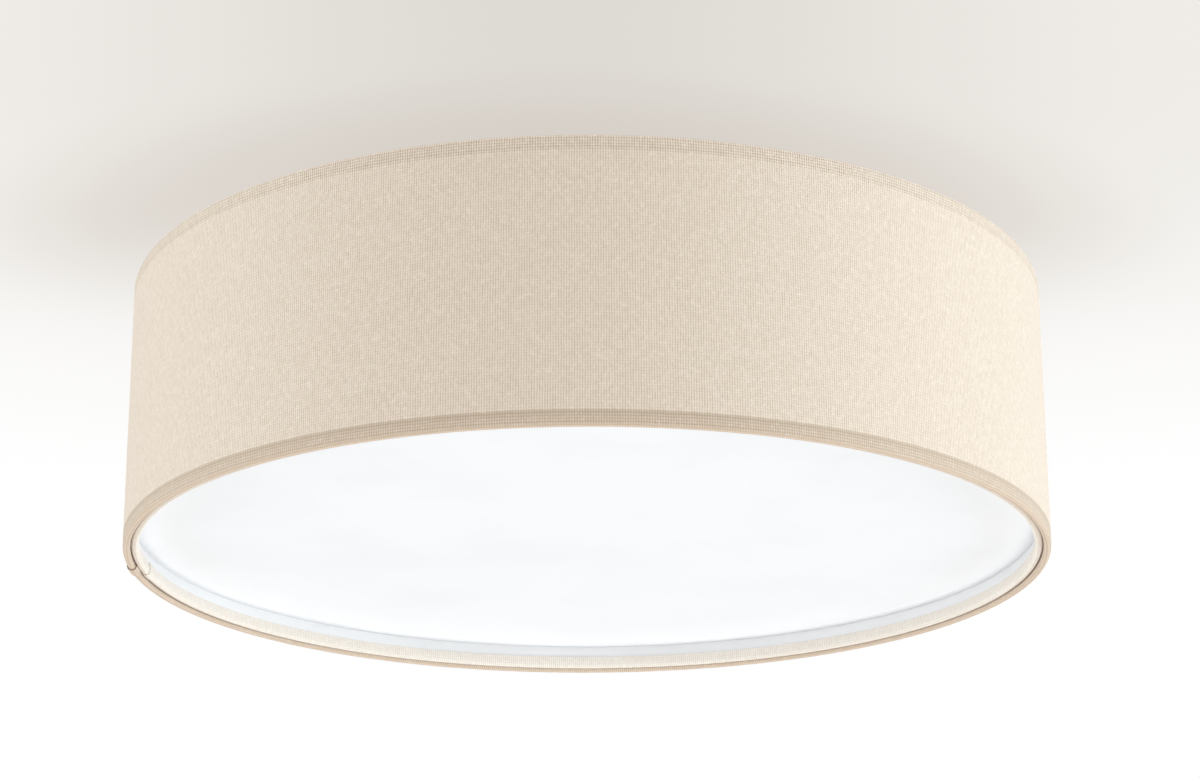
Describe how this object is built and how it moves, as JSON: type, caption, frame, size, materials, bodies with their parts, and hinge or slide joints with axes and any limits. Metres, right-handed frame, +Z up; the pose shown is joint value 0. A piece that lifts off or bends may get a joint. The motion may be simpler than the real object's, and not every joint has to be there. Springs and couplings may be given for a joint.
{
  "type": "flush mount ceiling light",
  "caption": "Round fabric drum ceiling light: flush shade on a ceiling pan with screw bulbs inside and a drop-down opal diffuser set in a fabric-wrapped ring.",
  "frame": {"origin": "centre of the light on the ceiling plane, at the mounting bar's upper face", "axes": "+Z up into the ceiling, the light hangs below it; one shade arm and the cable entry lie along +X, the mounting bar along Y"},
  "size_m": [0.5, 0.5, 0.15],
  "materials": {
    "zinc_steel": "zinc plated, dull",
    "white_paint": "white powder coat, satin",
    "arm_paint": "white powder coat, satin",
    "black_rubber": "matte",
    "holder_plastic": "moulded, satin",
    "contact_brass": "plain",
    "cap_nickel": "nickel plated",
    "bulb_plastic": "moulded, satin",
    "opal_globe": "opal, frosted",
    "block_plastic": "moulded, satin",
    "live_insulation": "soft insulation",
    "neutral_insulation": "soft insulation",
    "earth_insulation": "soft insulation, two coloured stripes",
    "shade_fabric": "cream plain weave",
    "insert_fabric": "cream plain weave",
    "white_lining": "smooth white sheet",
    "ring_steel": "white coated wire",
    "nut_brass": "knurled, plain",
    "opal_acrylic": "opal white, satin",
    "magnet_nickel": "nickel plated"
  },
  "bodies": {
    "ceiling_unit": {"bar_studs": "zinc_steel", "block_screws": "zinc_steel", "bracket_rivets": "zinc_steel", "cable_grommet": "black_rubber", "cap_nuts": "zinc_steel", "ceiling_pan": "white_paint", "centre_contact_1": "contact_brass", "centre_contact_2": "contact_brass", "centre_contact_3": "contact_brass", "contact_shell_1": "contact_brass", "contact_shell_2": "contact_brass", "contact_shell_3": "contact_brass", "earth_terminal": "contact_brass", "earth_wire": "earth_insulation", "lampholder_1": "holder_plastic", "lampholder_2": "holder_plastic", "lampholder_3": "holder_plastic", "lampholder_bracket_1": "zinc_steel", "lampholder_bracket_2": "zinc_steel", "lampholder_bracket_3": "zinc_steel", "lampholder_nut_1": "holder_plastic", "lampholder_nut_2": "holder_plastic", "lampholder_nut_3": "holder_plastic", "live_wires": "live_insulation", "mounting_bar": "zinc_steel", "neutral_wires": "neutral_insulation", "shade_studs": "zinc_steel", "terminal_block": "block_plastic", "terminal_screws": "zinc_steel"},
    "bulb_1_screw": {"bulb_tip_1": "contact_brass"},
    "bulb_1": {"bulb_cap_1": "cap_nickel", "bulb_housing_1": "bulb_plastic", "bulb_globe_1": "opal_globe"},
    "thumb_nut_1": {"thumb_nut_1": "nut_brass"},
    "bulb_2_screw": {"bulb_tip_2": "contact_brass"},
    "bulb_2": {"bulb_cap_2": "cap_nickel", "bulb_housing_2": "bulb_plastic", "bulb_globe_2": "opal_globe"},
    "thumb_nut_2": {"thumb_nut_2": "nut_brass"},
    "bulb_3_screw": {"bulb_tip_3": "contact_brass"},
    "bulb_3": {"bulb_cap_3": "cap_nickel", "bulb_housing_3": "bulb_plastic", "bulb_globe_3": "opal_globe"},
    "thumb_nut_3": {"thumb_nut_3": "nut_brass"},
    "shade": {"shade_fabric": "shade_fabric", "shade_lining": "white_lining", "top_wire_ring": "ring_steel", "bottom_wire_ring": "ring_steel", "shade_arm_1": "arm_paint", "shade_arm_2": "arm_paint", "shade_arm_3": "arm_paint", "magnet_tab_1": "zinc_steel", "magnet_tab_2": "zinc_steel", "magnet_tab_3": "zinc_steel"},
    "diffuser": {"diffuser_disc": "opal_acrylic", "diffuser_magnets": "magnet_nickel", "insert_fabric": "insert_fabric", "insert_lining": "white_lining", "insert_wire_ring": "ring_steel"}
  },
  "joints": [
    {"name": "bulb_1_travel", "type": "slide", "parent": "ceiling_unit", "child": "bulb_1_screw", "axis": [0.5, 0.866, 0], "range_m": [0, 0.02178]},
    {"name": "bulb_1_unscrew", "type": "hinge", "parent": "bulb_1_screw", "child": "bulb_1", "pos_m": [0, 0, -0.06], "axis": [0.5, 0.866, 0], "range_deg": [0, 2160]},
    {"name": "bulb_2_travel", "type": "slide", "parent": "ceiling_unit", "child": "bulb_2_screw", "axis": [-1, 0, 0], "range_m": [0, 0.02178]},
    {"name": "bulb_2_unscrew", "type": "hinge", "parent": "bulb_2_screw", "child": "bulb_2", "pos_m": [0, 0, -0.06], "axis": [-1, 0, 0], "range_deg": [0, 2160]},
    {"name": "bulb_3_travel", "type": "slide", "parent": "ceiling_unit", "child": "bulb_3_screw", "axis": [0.5, -0.866, 0], "range_m": [0, 0.02178]},
    {"name": "bulb_3_unscrew", "type": "hinge", "parent": "bulb_3_screw", "child": "bulb_3", "pos_m": [0, 0, -0.06], "axis": [0.5, -0.866, 0], "range_deg": [0, 2160]},
    {"name": "shade_drop", "type": "slide", "parent": "ceiling_unit", "child": "shade", "axis": [0, 0, -1], "range_m": [0, 0.16]},
    {"name": "diffuser_drop", "type": "slide", "parent": "shade", "child": "diffuser", "axis": [0, 0, -1], "range_m": [0, 0.06]},
    {"name": "thumb_nut_1_spin", "type": "hinge", "parent": "shade", "child": "thumb_nut_1", "pos_m": [0.135, 0, -0.02], "axis": [0, 0, 1], "continuous": true},
    {"name": "thumb_nut_2_spin", "type": "hinge", "parent": "shade", "child": "thumb_nut_2", "pos_m": [-0.0675, 0.11691, -0.02], "axis": [0, 0, 1], "continuous": true},
    {"name": "thumb_nut_3_spin", "type": "hinge", "parent": "shade", "child": "thumb_nut_3", "pos_m": [-0.0675, -0.11691, -0.02], "axis": [0, 0, 1], "continuous": true}
  ],
  "couplings": [
    {"joint": "bulb_1_unscrew", "follows": "bulb_1_travel", "rad_per_m": 1730.9},
    {"joint": "bulb_2_unscrew", "follows": "bulb_2_travel", "rad_per_m": 1730.9},
    {"joint": "bulb_3_unscrew", "follows": "bulb_3_travel", "rad_per_m": 1730.9}
  ]
}
